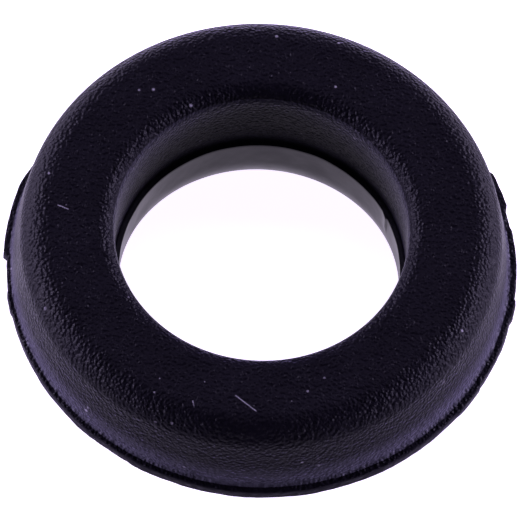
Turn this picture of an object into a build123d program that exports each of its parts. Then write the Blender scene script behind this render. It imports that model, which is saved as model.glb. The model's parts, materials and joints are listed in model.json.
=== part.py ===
from build123d import *

import os
from math import cos, radians, sin

# Rubber buffer: one moulded ring with a stepped bore, a conical crown and a trimmed flange.
# Units are millimetres. The origin is the centre of the foot, and +Z runs up the bore.

# Heights, measured up from the foot
overall_height = 9.0
flange_top_height = 4.35
flange_thickness = 0.7
ledge_height = 3.9
flare_height = 2.05

# Bore: its upper wall, the ledge that steps in from it, and the flare below the lip
bore_diameter = 16.0
ledge_width = 0.31
flare_widening = 0.62

# Outside: the widest wall at the parting line, and how far in the crown, neck and foot stand
base_diameter = 27.1
crown_inset = 0.61
neck_inset = 0.25
foot_inset = 1.95

# Small forms of the section
crown_fillet = 1.6
bore_fillet = 1.0
foot_fillet = 0.6
ledge_root_fillet = 0.1
lip_edge_fillet = 0.08
wall_bulge = 0.05

# Flange: it was trimmed by hand, a little off centre, its edge wanders, and three
# stretches were left wider
flange_width = 0.4
flange_shift_x = 0.1
flange_shift_y = -0.08
ripple_height = 0.03
ripple_points = 48
uncut_stretches = {
    # name: (angle where it starts, angle where it ends, extra width)
    "long_tab": (165.5, 180.0, 0.2),
    "back_tab": (18.5, 28.5, 0.1),
    "side_tab": (-9.5, -5.0, 0.1),
}

# Radii and heights worked out from the above
bore_radius = bore_diameter / 2
lip_radius = bore_radius - ledge_width
flare_radius = lip_radius + flare_widening
base_radius = base_diameter / 2
crown_radius = base_radius - crown_inset
neck_radius = base_radius - neck_inset
foot_radius = base_radius - foot_inset
flange_radius = base_radius + flange_width
flange_bottom_height = flange_top_height - flange_thickness
wall_middle_radius = (bore_radius + base_radius) / 2


def ripple(angle):
    """How far the trimmed edge stands off its mean circle at an angle in degrees."""
    turn = radians(angle)
    slow = sin(3 * turn + 0.7) + 0.7 * sin(5 * turn + 2.1)
    quick = 0.5 * sin(11 * turn + 0.4)
    return ripple_height * (slow + quick) / 2


def rim_point(angle):
    """A point of the flange's edge, at an angle in degrees."""
    radius = flange_radius + ripple(angle)
    return (
        flange_shift_x + radius * cos(radians(angle)),
        flange_shift_y + radius * sin(radians(angle)),
    )


# The ring itself, as a half section turned about the bore's axis
with BuildPart() as buffer_ring:
    with BuildSketch(Plane.XZ) as section:
        with BuildLine() as outline:
            # bore, from the foot up: flare, lip, ledge, upper wall
            TangentArc((lip_radius, flare_height), (flare_radius, 0), tangent=(0, -1))
            Polyline(
                (lip_radius, flare_height),
                (lip_radius, ledge_height),
                (bore_radius, ledge_height),
                (bore_radius, overall_height),
                (crown_radius, overall_height),
            )
            # conical crown, a little fuller at mid height than a true cone
            SagittaArc(
                (crown_radius, overall_height),
                (base_radius, flange_top_height),
                wall_bulge,
            )
            # inner end of the flange, then the neck that tapers to the foot
            Polyline(
                (base_radius, flange_top_height),
                (base_radius, flange_bottom_height),
                (neck_radius, flange_bottom_height),
                (foot_radius, 0),
                (flare_radius, 0),
            )
        make_face()
    revolve(axis=Axis.Z)

    # rounded edges of the crown, the bore's mouth, the ledge and the foot
    circles = buffer_ring.edges().filter_by(GeomType.CIRCLE)
    top_edges = circles.group_by(Axis.Z)[-1].sort_by(SortBy.RADIUS)
    foot_edges = circles.group_by(Axis.Z)[0].sort_by(SortBy.RADIUS)
    ledge_edges = circles.filter_by_position(Axis.Z, ledge_height, ledge_height).sort_by(SortBy.RADIUS)
    fillet(top_edges[0], radius=bore_fillet)
    fillet(top_edges[-1], radius=crown_fillet)
    fillet(foot_edges[-1], radius=foot_fillet)
    fillet(ledge_edges[0], radius=lip_edge_fillet)
    fillet(ledge_edges[-1], radius=ledge_root_fillet)

    # the flange, a flat land round the parting line with a wandering edge
    with BuildSketch(Plane.XY.offset(flange_bottom_height)) as flange_outline:
        with BuildLine():
            Spline(
                *[rim_point(360 * step / ripple_points) for step in range(ripple_points)],
                periodic=True,
            )
        make_face()
        # stretches where the trimming knife ran further out
        for start, end, extra in uncut_stretches.values():
            with BuildLine():
                outer = CenterArc((0, 0), flange_radius + extra, start, end - start)
                inner = CenterArc((0, 0), wall_middle_radius, start, end - start)
                Line(inner @ 0, outer @ 0)
                Line(inner @ 1, outer @ 1)
            make_face()
        Circle(wall_middle_radius, mode=Mode.SUBTRACT)
    extrude(amount=flange_thickness)

buffer_ring.part.label = "buffer_ring"

os.makedirs("parts", exist_ok=True)
export_step(buffer_ring.part, "parts/buffer_ring.step")
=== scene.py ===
import json
import math

import bmesh
import bpy
from mathutils import Matrix, Vector, noise


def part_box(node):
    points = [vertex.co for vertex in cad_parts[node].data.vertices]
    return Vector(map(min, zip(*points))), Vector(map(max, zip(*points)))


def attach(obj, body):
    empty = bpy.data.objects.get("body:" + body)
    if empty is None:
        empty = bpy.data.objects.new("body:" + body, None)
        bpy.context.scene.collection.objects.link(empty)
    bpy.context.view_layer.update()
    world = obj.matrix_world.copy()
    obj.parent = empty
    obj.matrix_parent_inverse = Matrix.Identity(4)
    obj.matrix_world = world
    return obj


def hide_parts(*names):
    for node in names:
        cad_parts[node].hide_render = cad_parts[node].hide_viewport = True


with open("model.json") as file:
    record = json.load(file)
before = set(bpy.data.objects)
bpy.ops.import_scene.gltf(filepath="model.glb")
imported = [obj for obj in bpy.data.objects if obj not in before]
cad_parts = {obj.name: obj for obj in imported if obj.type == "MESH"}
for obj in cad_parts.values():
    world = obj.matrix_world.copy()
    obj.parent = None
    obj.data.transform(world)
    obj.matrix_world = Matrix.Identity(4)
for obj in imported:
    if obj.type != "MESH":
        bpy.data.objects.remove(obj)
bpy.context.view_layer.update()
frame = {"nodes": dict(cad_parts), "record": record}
print("frame loaded:", sorted(frame["nodes"]))

mm = 0.001
mounts = {mount["name"]: mount for mount in frame["record"]["mounts"]}
lowCorner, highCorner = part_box("buffer_ring")


ring = {
    "height": highCorner.z,
    "boreRadius": mounts["upper_bore"]["dims"]["r_mm"] * mm,
    "lipRadius": mounts["lip_bore"]["dims"]["r_mm"] * mm,
    "baseRadius": 13.55 * mm,
    "crownInset": 0.61 * mm,
    "neckInset": 0.25 * mm,
    "footInset": 1.95 * mm,
    "flareWidening": 0.62 * mm,
    "flareHeight": 2.05 * mm,
    "ledgeHeight": 3.9 * mm,
    "flangeTop": 4.35 * mm,
    "flangeThickness": 0.7 * mm,
    "flangeWidth": 0.4 * mm,
    "wallBulge": 0.09 * mm,
    "crownFillet": 1.6 * mm,
    "boreFillet": 1.0 * mm,
    "footFillet": 0.6 * mm,
    "ledgeFillet": 0.1 * mm,
    "lipFillet": 0.05 * mm,
    "flangeRootFillet": 0.16 * mm,
    "flangeEdgeFillet": 0.09 * mm,
    "stepsRound": 600,
    "faceLength": 0.17 * mm,
}

# how the trimming knife left the flange and the ledge
trim = {
    "shift": Vector((0.1, -0.08, 0)) * mm,
    "ripple": 0.03 * mm,
    "tear": 0.035 * mm,
    "tearsPerTurn": 46,
    "nibble": 0.018 * mm,
    "nibblesPerTurn": 190,
    "ledgeFacets": 0.035 * mm,
    "ledgeNick": {"angle": 27, "depth": 0.09 * mm, "length": 5},
    "stretches": [
        # start angle, end angle, extra width, fade at the start, fade at the end
        (163.0, 180.0, 0.20 * mm, 9.0, 0.6),
        (18.5, 28.5, 0.10 * mm, 0.6, 0.8),
        (28.5, 46.0, -0.12 * mm, 0.8, 9.0),
        (13.5, 18.5, -0.08 * mm, 0.8, 0.6),
        (-9.5, -5.5, 0.09 * mm, 1.2, 0.8),
        (-36.0, -29.0, 0.05 * mm, 1.5, 0.8),
        (190.0, 194.0, 0.07 * mm, 1.2, 1.2),
        (92.0, 118.0, -0.05 * mm, 3.0, 0.8),
        (232.0, 241.0, -0.04 * mm, 1.5, 1.5),
    ],
}


def ringCorners(s):
    # the half section's corners, from the mouth of the flare round to the foot
    top, base = s["height"], s["baseRadius"]
    flangeLow = s["flangeTop"] - s["flangeThickness"]
    flangeRadius = base + s["flangeWidth"]
    return {
        "mouth": (s["lipRadius"] + s["flareWidening"], 0),
        "flareTop": (s["lipRadius"], s["flareHeight"]),
        "lip": (s["lipRadius"], s["ledgeHeight"]),
        "ledgeRoot": (s["boreRadius"], s["ledgeHeight"]),
        "boreRim": (s["boreRadius"], top),
        "crown": (base - s["crownInset"], top),
        "flangeRoot": (base, s["flangeTop"]),
        "flangeUpper": (flangeRadius, s["flangeTop"]),
        "flangeLower": (flangeRadius, flangeLow),
        "neck": (base - s["neckInset"], flangeLow),
        "foot": (base - s["footInset"], 0),
    }


def radiusOf(co):
    return math.hypot(co.x, co.y)


def isAlong(edge):
    # true for an edge that runs in the section, false for one that runs round the ring
    a, b = edge.verts[0].co, edge.verts[1].co
    return abs(radiusOf(a) - radiusOf(b)) > 1e-7 or abs(a.z - b.z) > 1e-7


def loopAt(bm, corner):
    radius, height = corner
    return [
        e for e in bm.edges
        if all(abs(radiusOf(v.co) - radius) < 1e-6 and abs(v.co.z - height) < 1e-6 for v in e.verts)
    ]


def roundLoop(bm, corner, neighbours, fillet, faceLength):
    # a bevel whose offset gives the wanted fillet radius at this corner's angle
    here = Vector(corner)
    arms = [(Vector(n) - here).normalized() for n in neighbours]
    opening = arms[0].angle(arms[1])
    offset = fillet / math.tan(opening / 2)
    arc = fillet * (math.pi - opening)
    bmesh.ops.bevel(
        bm, geom=loopAt(bm, corner), offset=offset, offset_type="OFFSET", affect="EDGES",
        segments=max(2, round(arc / faceLength)), profile=0.5, material=-1, clamp_overlap=False,
    )


def divideBands(bm, faceLength):
    byCuts = {}
    for e in bm.edges:
        if isAlong(e):
            cuts = round(e.calc_length() / faceLength) - 1
            if cuts > 0:
                byCuts.setdefault(cuts, []).append(e)
    for cuts, edges in sorted(byCuts.items()):
        bmesh.ops.subdivide_edges(bm, edges=edges, cuts=cuts)


def smoothStep(x):
    x = min(1, max(0, x))
    return x * x * (3 - 2 * x)


def stretchWidth(angle):
    extra = 0
    for start, end, width, fadeIn, fadeOut in trim["stretches"]:
        for turn in (-360, 0, 360):
            a = angle + turn
            if start - fadeIn < a < end + fadeOut:
                rise = smoothStep((a - start + fadeIn) / fadeIn)
                extra += width * rise * smoothStep((end + fadeOut - a) / fadeOut)
    return extra


def edgeNoise(angle, perTurn, height=0.0):
    # noise that closes on itself after one turn
    turn = math.radians(angle)
    reach = perTurn / (2 * math.pi)
    return noise.noise(Vector((math.cos(turn) * reach, math.sin(turn) * reach, height)))


def flangeOffset(angle, height):
    turn = math.radians(angle)
    slow = math.sin(3 * turn + 0.7) + 0.7 * math.sin(5 * turn + 2.1) + 0.5 * math.sin(11 * turn + 0.4)
    across = (height - ring["flangeTop"]) / ring["flangeThickness"]
    tear = edgeNoise(angle, trim["tearsPerTurn"], across * 0.5)
    nibble = edgeNoise(angle, trim["nibblesPerTurn"], across * 1.5)
    return trim["ripple"] * slow / 2 + trim["tear"] * tear + trim["nibble"] * nibble + stretchWidth(angle)


def ledgeOffset(angle):
    nick = trim["ledgeNick"]
    facets = trim["ledgeFacets"] * (edgeNoise(angle, 17, 3.0) + 0.5 * edgeNoise(angle, 41, 5.0))
    past = (angle - nick["angle"] + 180) % 360 - 180
    bite = nick["depth"] * smoothStep(1 - abs(past) / nick["length"]) if past > 0 else 0
    return facets - bite


def shapeRing(bm, s):
    wallFoot, wallTop = s["flangeTop"], s["height"]
    flangeLow = s["flangeTop"] - s["flangeThickness"]
    flareRise, flareOut = s["flareHeight"], s["flareWidening"]
    flareArc = (flareRise ** 2 + flareOut ** 2) / (2 * flareOut)
    for v in bm.verts:
        radius, angle, z = radiusOf(v.co), math.degrees(math.atan2(v.co.y, v.co.x)), v.co.z
        outward = Vector((v.co.x, v.co.y, 0)) / radius
        out = 0
        if radius > s["baseRadius"] - 1.2 * s["crownInset"] and wallFoot < z < wallTop:
            # a wall a little fuller than a cone, most of all low down
            along = (z - wallFoot) / (wallTop - wallFoot)
            out = s["wallBulge"] * math.sin(math.pi * along ** 0.65)
        if z < flareRise and radius < s["lipRadius"] + flareOut + 1e-6:
            drop = flareRise - z  # the flare is an arc that leaves the lip straight
            out = flareArc - math.sqrt(flareArc ** 2 - drop ** 2) - flareOut * drop / flareRise
        if flangeLow - 1e-6 < z < s["flangeTop"] + 1e-6 and radius > s["baseRadius"] - s["neckInset"]:
            share = smoothStep((radius - s["baseRadius"]) / s["flangeWidth"] * 1.15)
            out = share * flangeOffset(angle, z)
            v.co += trim["shift"] * share
        if flareRise < z < s["ledgeHeight"] + 1e-6 and radius < s["boreRadius"] - 1e-5:
            share = smoothStep((s["boreRadius"] - radius) / (s["boreRadius"] - s["lipRadius"]))
            share *= smoothStep((z - flareRise) / (0.5 * (s["ledgeHeight"] - flareRise)))
            out = share * ledgeOffset(angle)
        v.co += outward * out


def makeRing(s):
    bm = bmesh.new()
    corners = ringCorners(s)
    places = list(corners.values())
    verts = [bm.verts.new((radius, 0, height)) for radius, height in places]
    edges = [bm.edges.new((verts[i - 1], verts[i])) for i in range(len(verts))]
    bmesh.ops.spin(
        bm, geom=verts + edges, cent=(0, 0, 0), axis=(0, 0, 1), dvec=(0, 0, 0),
        angle=2 * math.pi, steps=s["stepsRound"], use_merge=True, use_normal_flip=False, use_duplicate=False,
    )
    bmesh.ops.remove_doubles(bm, verts=bm.verts, dist=1e-7)
    fillets = {
        "crown": "crownFillet", "boreRim": "boreFillet", "foot": "footFillet",
        "ledgeRoot": "ledgeFillet", "lip": "lipFillet", "flangeRoot": "flangeRootFillet",
        "flangeUpper": "flangeEdgeFillet", "flangeLower": "flangeEdgeFillet",
    }
    names = list(corners)
    for name, size in fillets.items():
        i = names.index(name)
        neighbours = places[i - 1], places[(i + 1) % len(places)]
        roundLoop(bm, corners[name], neighbours, s[size], s["faceLength"])
    divideBands(bm, s["faceLength"])
    shapeRing(bm, s)
    bmesh.ops.recalc_face_normals(bm, faces=bm.faces)
    flangeLow = s["flangeTop"] - s["flangeThickness"]
    for f in bm.faces:
        f.smooth = True
        c = f.calc_center_median()
        radius = radiusOf(c)
        steepness = abs(f.normal.z)
        belowLedge = c.z < s["ledgeHeight"] - 0.01 * mm and radius < s["boreRadius"] + 0.3 * mm
        onFlange = radius > s["baseRadius"] + 0.15 * mm and flangeLow < c.z < s["flangeTop"]
        if belowLedge and steepness < 0.8:
            f.material_index = 1
        elif onFlange and steepness < 0.6:
            f.material_index = 2
    mesh = bpy.data.meshes.new("buffer_body")
    bm.to_mesh(mesh)
    print("ring:", len(bm.verts), "vertices,", len(bm.faces), "faces")
    bm.free()
    piece = bpy.data.objects.new("buffer_body", mesh)
    bpy.context.scene.collection.objects.link(piece)
    return piece


def newGroup(name, inputs, outputs):
    group = bpy.data.node_groups.new(name, "ShaderNodeTree")
    for label, kind, value in inputs:
        socket = group.interface.new_socket(name=label, in_out="INPUT", socket_type=kind)
        if value is not None:
            socket.default_value = value
    for label, kind in outputs:
        group.interface.new_socket(name=label, in_out="OUTPUT", socket_type=kind)
    return group, group.nodes.new("NodeGroupInput"), group.nodes.new("NodeGroupOutput")


def mathNode(tree, operation, a, b=None, c=None, clamp=False):
    node = tree.nodes.new("ShaderNodeMath")
    node.operation = operation
    node.use_clamp = clamp
    for socket, value in zip(node.inputs, (a, b, c)):
        if isinstance(value, (int, float)):
            socket.default_value = value
        elif value is not None:
            tree.links.new(value, socket)
    return node.outputs[0]


def mapRange(tree, value, low, high, outLow=0.0, outHigh=1.0):
    node = tree.nodes.new("ShaderNodeMapRange")
    node.interpolation_type = "SMOOTHSTEP"
    tree.links.new(value, node.inputs["Value"])
    node.inputs["From Min"].default_value = low
    node.inputs["From Max"].default_value = high
    node.inputs["To Min"].default_value = outLow
    node.inputs["To Max"].default_value = outHigh
    return node.outputs["Result"]


def noiseNode(tree, vector, scale, detail=2.0, rough=0.5):
    node = tree.nodes.new("ShaderNodeTexNoise")
    node.inputs["Detail"].default_value = detail
    node.inputs["Roughness"].default_value = rough
    if isinstance(scale, (int, float)):
        node.inputs["Scale"].default_value = scale
    else:
        tree.links.new(scale, node.inputs["Scale"])
    tree.links.new(vector, node.inputs["Vector"])
    return node.outputs["Fac"]


def makeGrainGroup():
    # spark-eroded mould texture: soft round-topped cells with pits between them
    group, inn, out = newGroup(
        "sparkGrain",
        [("Vector", "NodeSocketVector", None), ("Cells per metre", "NodeSocketFloat", 4500.0)],
        [("Height", "NodeSocketFloat")],
    )
    vector, density = inn.outputs["Vector"], inn.outputs["Cells per metre"]
    cells = group.nodes.new("ShaderNodeTexVoronoi")
    cells.feature = "SMOOTH_F1"
    cells.inputs["Smoothness"].default_value = 0.6
    group.links.new(vector, cells.inputs["Vector"])
    group.links.new(density, cells.inputs["Scale"])
    fine = noiseNode(group, vector, density, 1.5, 0.5)
    broad = noiseNode(group, vector, mathNode(group, "MULTIPLY", density, 0.35), 2.0, 0.5)
    crown = mathNode(group, "MULTIPLY_ADD", cells.outputs["Distance"], -0.7, 0.7)
    height = mathNode(group, "MULTIPLY_ADD", fine, 0.7, crown)
    height = mathNode(group, "MULTIPLY_ADD", broad, 0.3, height)
    group.links.new(height, out.inputs["Height"])
    return group


def makeSpeckGroup():
    # sparse pale dust: one small speck in some of the cells of a lattice
    group, inn, out = newGroup(
        "dustSpecks",
        [
            ("Vector", "NodeSocketVector", None),
            ("Cells per metre", "NodeSocketFloat", 900.0),
            ("Size", "NodeSocketFloat", 0.09),
            ("Share", "NodeSocketFloat", 0.25),
        ],
        [("Mask", "NodeSocketFloat")],
    )
    cells = group.nodes.new("ShaderNodeTexVoronoi")
    group.links.new(inn.outputs["Vector"], cells.inputs["Vector"])
    group.links.new(inn.outputs["Cells per metre"], cells.inputs["Scale"])
    split = group.nodes.new("ShaderNodeSeparateColor")
    group.links.new(cells.outputs["Color"], split.inputs["Color"])
    chosen = mathNode(group, "LESS_THAN", split.outputs["Red"], inn.outputs["Share"])
    size = mathNode(group, "ADD", split.outputs["Green"], 0.3)
    size = mathNode(group, "MULTIPLY", inn.outputs["Size"], size)
    gap = mathNode(group, "DIVIDE", cells.outputs["Distance"], size)
    near = mathNode(group, "SUBTRACT", 1.0, gap, clamp=True)
    strength = mathNode(group, "ADD", split.outputs["Blue"], 0.4)
    near = mathNode(group, "MULTIPLY", mathNode(group, "POWER", near, 0.7), strength)
    group.links.new(mathNode(group, "MULTIPLY", chosen, near, clamp=True), out.inputs["Mask"])
    return group


def makeFibreGroup():
    # a hair-thin fibre lying between two points of the surface
    group, inn, out = newGroup(
        "lintFibre",
        [
            ("Vector", "NodeSocketVector", None),
            ("Start", "NodeSocketVector", None),
            ("End", "NodeSocketVector", None),
            ("Width", "NodeSocketFloat", 0.00004),
        ],
        [("Mask", "NodeSocketFloat")],
    )

    def vectorMath(operation, a, b=None, scale=None):
        node = group.nodes.new("ShaderNodeVectorMath")
        node.operation = operation
        group.links.new(a, node.inputs[0])
        if b is not None:
            group.links.new(b, node.inputs[1])
        if scale is not None:
            group.links.new(scale, node.inputs["Scale"])
        return node

    start, end, vector = inn.outputs["Start"], inn.outputs["End"], inn.outputs["Vector"]
    run = vectorMath("SUBTRACT", end, start).outputs["Vector"]
    away = vectorMath("SUBTRACT", vector, start).outputs["Vector"]
    along = mathNode(
        group, "DIVIDE",
        vectorMath("DOT_PRODUCT", away, run).outputs["Value"],
        vectorMath("DOT_PRODUCT", run, run).outputs["Value"], clamp=True,
    )
    nearest = vectorMath("SCALE", run, scale=along).outputs["Vector"]
    gap = vectorMath("DISTANCE", away, nearest).outputs["Value"]
    share = mathNode(group, "DIVIDE", gap, inn.outputs["Width"])
    mask = mathNode(group, "SUBTRACT", 1.0, share, clamp=True)
    group.links.new(mask, out.inputs["Mask"])
    return group


def placeGroup(tree, group, vector, **values):
    node = tree.nodes.new("ShaderNodeGroup")
    node.node_tree = group
    tree.links.new(vector, node.inputs["Vector"])
    for name, value in values.items():
        node.inputs[name.replace("_", " ")].default_value = value
    return node.outputs[0]


rubber = {
    "dark": (0.0018, 0.0015, 0.0028, 1),
    "pale": (0.0036, 0.0031, 0.0056, 1),
    "dust": (0.16, 0.15, 0.18, 1),
    # painted light: the paler colour painted on the wall where it catches light
    "paintedLight": (0.046, 0.044, 0.060, 1),
    "roughness": (0.33, 0.40),
    "specular": 0.026,
    "sheen": 0.12,
    "sheenTint": (0.66, 0.58, 1.0, 1),
    "sheenRoughness": 0.25,
    "grainPerMetre": 5200,
    "grainDepth": 0.115 * mm,
    "smoothDepth": 0.012 * mm,
    "lipSpecular": 0.19,
    "tornDepth": 0.06 * mm,
    "lipRoughness": (0.30, 0.38),
    "tornRoughness": (0.50, 0.62),
    "dragPerMetre": 1500.0,
    "tearsPerMetre": 2600.0,
    # painted light: how much of the paler colour is painted in the bore
    "borePaintedLight": 0.34,
}

# lint on the crown and the wall, as start and end points in millimetres on the ring
fibres = [
    ((-0.92, -10.62, 9.0), (0.21, -11.49, 9.0), 0.05),
    ((-3.24, -11.07, 9.0), (-3.11, -11.56, 9.0), 0.045),
    ((-11.13, 0.54, 9.0), (-10.57, 0.33, 9.0), 0.05),
]


def startMaterial(name):
    material = bpy.data.materials.new(name)
    material.use_nodes = True
    tree = material.node_tree
    tree.nodes.clear()
    shader = tree.nodes.new("ShaderNodeBsdfPrincipled")
    output = tree.nodes.new("ShaderNodeOutputMaterial")
    tree.links.new(shader.outputs["BSDF"], output.inputs["Surface"])
    place = tree.nodes.new("ShaderNodeTexCoord").outputs["Object"]
    shader.inputs["Specular IOR Level"].default_value = rubber["specular"]
    shader.inputs["Sheen Weight"].default_value = rubber["sheen"]
    shader.inputs["Sheen Tint"].default_value = rubber["sheenTint"]
    shader.inputs["Sheen Roughness"].default_value = rubber["sheenRoughness"]
    return material, tree, shader, place


def mixColour(tree, fac, a, b):
    node = tree.nodes.new("ShaderNodeMix")
    node.data_type = "RGBA"
    tree.links.new(fac, node.inputs["Factor"])
    for socket, value in ((node.inputs[6], a), (node.inputs[7], b)):
        if isinstance(value, tuple):
            socket.default_value = value
        else:
            tree.links.new(value, socket)
    return node.outputs[2]


def finishMaterial(tree, shader, place, height, depth, dustMask, roughLow, roughHigh, paintedLight=None):
    cloud = noiseNode(tree, place, 420, 3.0, 0.6)
    colour = mixColour(tree, cloud, rubber["dark"], rubber["pale"])
    # painted light: where this mask is given, the colour is painted paler
    if paintedLight is not None:
        colour = mixColour(tree, paintedLight, colour, rubber["paintedLight"])
    if dustMask is not None:
        colour = mixColour(tree, dustMask, colour, rubber["dust"])
    tree.links.new(colour, shader.inputs["Base Color"])
    tree.links.new(mapRange(tree, cloud, 0.3, 0.7, roughLow, roughHigh), shader.inputs["Roughness"])
    bump = tree.nodes.new("ShaderNodeBump")
    bump.inputs["Strength"].default_value = 1.0
    bump.inputs["Distance"].default_value = depth
    tree.links.new(height, bump.inputs["Height"])
    tree.links.new(bump.outputs["Normal"], shader.inputs["Normal"])


def makeMouldedRubber(grain, specks, fibre):
    # the moulded skin: grained, but polished smooth by the core pin just above the ledge
    material, tree, shader, place = startMaterial("mouldedRubber")
    split = tree.nodes.new("ShaderNodeSeparateXYZ")
    tree.links.new(place, split.inputs["Vector"])
    height = placeGroup(tree, grain, place, Cells_per_metre=rubber["grainPerMetre"])
    flat = tree.nodes.new("ShaderNodeVectorMath")
    flat.operation = "MULTIPLY"
    flat.inputs[1].default_value = (1, 1, 0)
    tree.links.new(place, flat.inputs[0])
    length = tree.nodes.new("ShaderNodeVectorMath")
    length.operation = "LENGTH"
    tree.links.new(flat.outputs["Vector"], length.inputs[0])
    radius = length.outputs["Value"]
    inBore = mathNode(tree, "LESS_THAN", radius, ring["boreRadius"] + 0.1 * mm)
    polishFrom, polishTo = ring["ledgeHeight"] + 0.2 * mm, ring["ledgeHeight"] + 1.1 * mm
    low = mapRange(tree, split.outputs["Z"], polishFrom, polishTo, 1.0, 0.0)
    polish = mathNode(tree, "MULTIPLY", inBore, low)
    grained = mathNode(tree, "MULTIPLY_ADD", polish, -0.85, 1.0)
    height = mathNode(tree, "MULTIPLY", height, grained)
    mask = placeGroup(tree, specks, place, Cells_per_metre=1100.0, Size=0.11, Share=0.4)
    for start, end, width in fibres:
        ends = {"Start": Vector(start) * mm, "End": Vector(end) * mm}
        line = placeGroup(tree, fibre, place, Width=width * mm, **ends)
        mask = mathNode(tree, "MAXIMUM", mask, line)
    # painted light: a paler colour painted in the corner above the flange, and a little in the bore,
    # standing in for the light the wall catches there
    onWall = mapRange(tree, radius, ring["baseRadius"] - 0.55 * mm, ring["baseRadius"] - 0.3 * mm)
    paintedLightFrom, paintedLightTo = ring["flangeTop"] + 0.05 * mm, ring["flangeTop"] + 1.9 * mm
    corner = mapRange(tree, split.outputs["Z"], paintedLightFrom, paintedLightTo, 1.0, 0.0)
    aboveFlange = mathNode(tree, "GREATER_THAN", split.outputs["Z"], ring["flangeTop"])
    onWall = mathNode(tree, "MULTIPLY", onWall, aboveFlange)
    wallPaintedLight = mathNode(tree, "MULTIPLY", onWall, corner)
    paintedLight = mathNode(tree, "MULTIPLY_ADD", inBore, rubber["borePaintedLight"], wallPaintedLight)
    patches = mapRange(tree, noiseNode(tree, place, 3600, 2.0, 0.6), 0.30, 0.66, 0.45, 0.9)
    paintedLight = mathNode(tree, "MULTIPLY", paintedLight, patches, clamp=True)
    finishMaterial(tree, shader, place, height, rubber["grainDepth"], mask, *rubber["roughness"], paintedLight)
    return material


def makeLipRubber(grain):
    # the lip and flare: smooth, with only a faint drag
    material, tree, shader, place = startMaterial("lipRubber")
    height = placeGroup(tree, grain, place, Cells_per_metre=rubber["dragPerMetre"])
    shader.inputs["Specular IOR Level"].default_value = rubber["lipSpecular"]
    finishMaterial(tree, shader, place, height, rubber["smoothDepth"], None, *rubber["lipRoughness"])
    return material


def makeTornRubber(grain, specks):
    # the trimmed edge of the flange: torn, a little paler
    material, tree, shader, place = startMaterial("tornRubber")
    height = placeGroup(tree, grain, place, Cells_per_metre=rubber["tearsPerMetre"])
    mask = placeGroup(tree, specks, place, Cells_per_metre=1500.0, Size=0.3, Share=0.25)
    mask = mathNode(tree, "MULTIPLY", mask, 0.2)
    finishMaterial(tree, shader, place, height, rubber["tornDepth"], mask, *rubber["tornRoughness"])
    return material


body = makeRing(ring)
grainGroup, speckGroup, fibreGroup = makeGrainGroup(), makeSpeckGroup(), makeFibreGroup()
for material in (
    makeMouldedRubber(grainGroup, speckGroup, fibreGroup),
    makeLipRubber(grainGroup),
    makeTornRubber(grainGroup, speckGroup),
):
    body.data.materials.append(material)
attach(body, "root")
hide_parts("buffer_ring")
print("ring finished")


studio = {
    "floorSize": 3.0,
    "floorGap": 0.02 * mm,
    "floorColour": (0.8, 0.8, 0.8, 1),
    "floorWhite": 1.2,
    "floorTint": (0.88, 0.79, 1.0, 1),
    "sky": (0.86, 0.80, 1.0, 1),
    "overhead": 0.04,
    "horizon": 0.60,
    "horizonTop": 0.50,
}


def makeFloor(s):
    bm = bmesh.new()
    bmesh.ops.create_grid(bm, x_segments=1, y_segments=1, size=s["floorSize"] / 2)
    bmesh.ops.translate(bm, verts=bm.verts, vec=(0, 0, lowCorner.z - s["floorGap"]))
    mesh = bpy.data.meshes.new("floor")
    bm.to_mesh(mesh)
    bm.free()
    floor = bpy.data.objects.new("floor", mesh)
    bpy.context.scene.collection.objects.link(floor)
    material = bpy.data.materials.new("paleFloor")
    material.use_nodes = True
    tree = material.node_tree
    tree.nodes.clear()
    path = tree.nodes.new("ShaderNodeLightPath")
    seen = mathNode(tree, "MAXIMUM", path.outputs["Is Camera Ray"], path.outputs["Is Glossy Ray"])
    seen = mathNode(tree, "MAXIMUM", seen, path.outputs["Is Transmission Ray"])
    glow = tree.nodes.new("ShaderNodeEmission")
    glow.inputs["Color"].default_value = s["floorTint"]
    tree.links.new(mathNode(tree, "MULTIPLY", seen, s["floorWhite"]), glow.inputs["Strength"])
    matte = tree.nodes.new("ShaderNodeBsdfDiffuse")
    matte.inputs["Color"].default_value = s["floorColour"]
    both = tree.nodes.new("ShaderNodeAddShader")
    tree.links.new(glow.outputs[0], both.inputs[0])
    tree.links.new(matte.outputs[0], both.inputs[1])
    # clear from below, so that the underside can be looked at
    side = tree.nodes.new("ShaderNodeNewGeometry").outputs["Backfacing"]
    clear = tree.nodes.new("ShaderNodeBsdfTransparent")
    oneSided = tree.nodes.new("ShaderNodeMixShader")
    tree.links.new(side, oneSided.inputs[0])
    tree.links.new(both.outputs[0], oneSided.inputs[1])
    tree.links.new(clear.outputs[0], oneSided.inputs[2])
    output = tree.nodes.new("ShaderNodeOutputMaterial")
    tree.links.new(oneSided.outputs[0], output.inputs["Surface"])
    floor.data.materials.append(material)


def makeWorld(s):
    # a dim studio with pale walls low down
    world = bpy.data.worlds.new("studio")
    world.use_nodes = True
    tree = world.node_tree
    tree.nodes.clear()
    coords = tree.nodes.new("ShaderNodeTexCoord")
    split = tree.nodes.new("ShaderNodeSeparateXYZ")
    tree.links.new(coords.outputs["Generated"], split.inputs["Vector"])
    level = mapRange(tree, split.outputs["Z"], 0.1, s["horizonTop"], s["horizon"], s["overhead"])
    background = tree.nodes.new("ShaderNodeBackground")
    background.inputs["Color"].default_value = s["sky"]
    tree.links.new(level, background.inputs["Strength"])
    output = tree.nodes.new("ShaderNodeOutputWorld")
    tree.links.new(background.outputs[0], output.inputs["Surface"])
    bpy.context.scene.world = world


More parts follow.
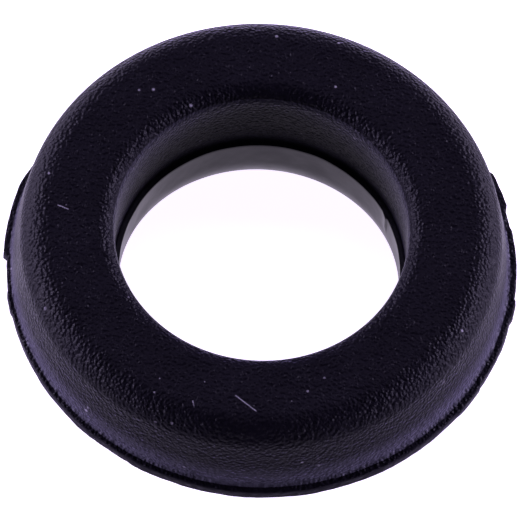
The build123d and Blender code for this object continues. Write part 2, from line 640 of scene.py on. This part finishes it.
# soft boxes with a faint violet cast, two low at the sides and one above the back
lampViolet = (0.76, 0.65, 1.0)
lamps = {
    "leftLamp": {"place": (-0.40, 0.10, 0.07), "aim": (0, 0, 0.005), "size": (0.60, 0.12), "power": 8.5},
    "rightLamp": {"place": (0.40, 0.10, 0.07), "aim": (0, 0, 0.005), "size": (0.60, 0.12), "power": 8.5},
    "backLamp": {"place": (0, 0.22, 0.42), "aim": (0, 0, 0.009), "size": (0.50, 0.16), "power": 1.4},
}


def makeLamp(name, s):
    light = bpy.data.lights.new(name, "AREA")
    light.shape = "RECTANGLE"
    light.size, light.size_y = s["size"]
    light.energy = s["power"]
    light.color = lampViolet
    lamp = bpy.data.objects.new(name, light)
    bpy.context.scene.collection.objects.link(lamp)
    lamp.location = s["place"]
    lamp.rotation_euler = (Vector(s["aim"]) - Vector(s["place"])).to_track_quat("-Z", "Y").to_euler()


cameraSettings = {
    "elevation": math.radians(61.73),
    "roll": math.radians(2.93),
    "distance": 853.2 * mm,
    "lens": 1084.8,
    "aim": Vector((0.007, -1.718, -0.924)) * mm,  # from the centre of the crown
}


def makeCamera(s):
    e, roll = s["elevation"], s["roll"]
    right, up = Vector((1, 0, 0)), Vector((0, math.sin(e), math.cos(e)))
    back = Vector((0, -math.cos(e), math.sin(e)))
    tiltedRight = right * math.cos(roll) + up * math.sin(roll)
    tiltedUp = up * math.cos(roll) - right * math.sin(roll)
    data = bpy.data.cameras.new("camera")
    data.lens = s["lens"]
    data.clip_start, data.clip_end = 0.01, 10
    camera = bpy.data.objects.new("camera", data)
    bpy.context.scene.collection.objects.link(camera)
    turn = Matrix((tiltedRight, tiltedUp, back)).transposed().to_4x4()
    aim = Vector((0, 0, highCorner.z)) + s["aim"]
    camera.matrix_world = Matrix.Translation(aim + back * s["distance"]) @ turn
    bpy.context.scene.camera = camera


makeFloor(studio)
makeWorld(studio)
for name, lamp in lamps.items():
    makeLamp(name, lamp)
makeCamera(cameraSettings)
bpy.context.scene.view_settings.view_transform = "Standard"
print("studio ready")
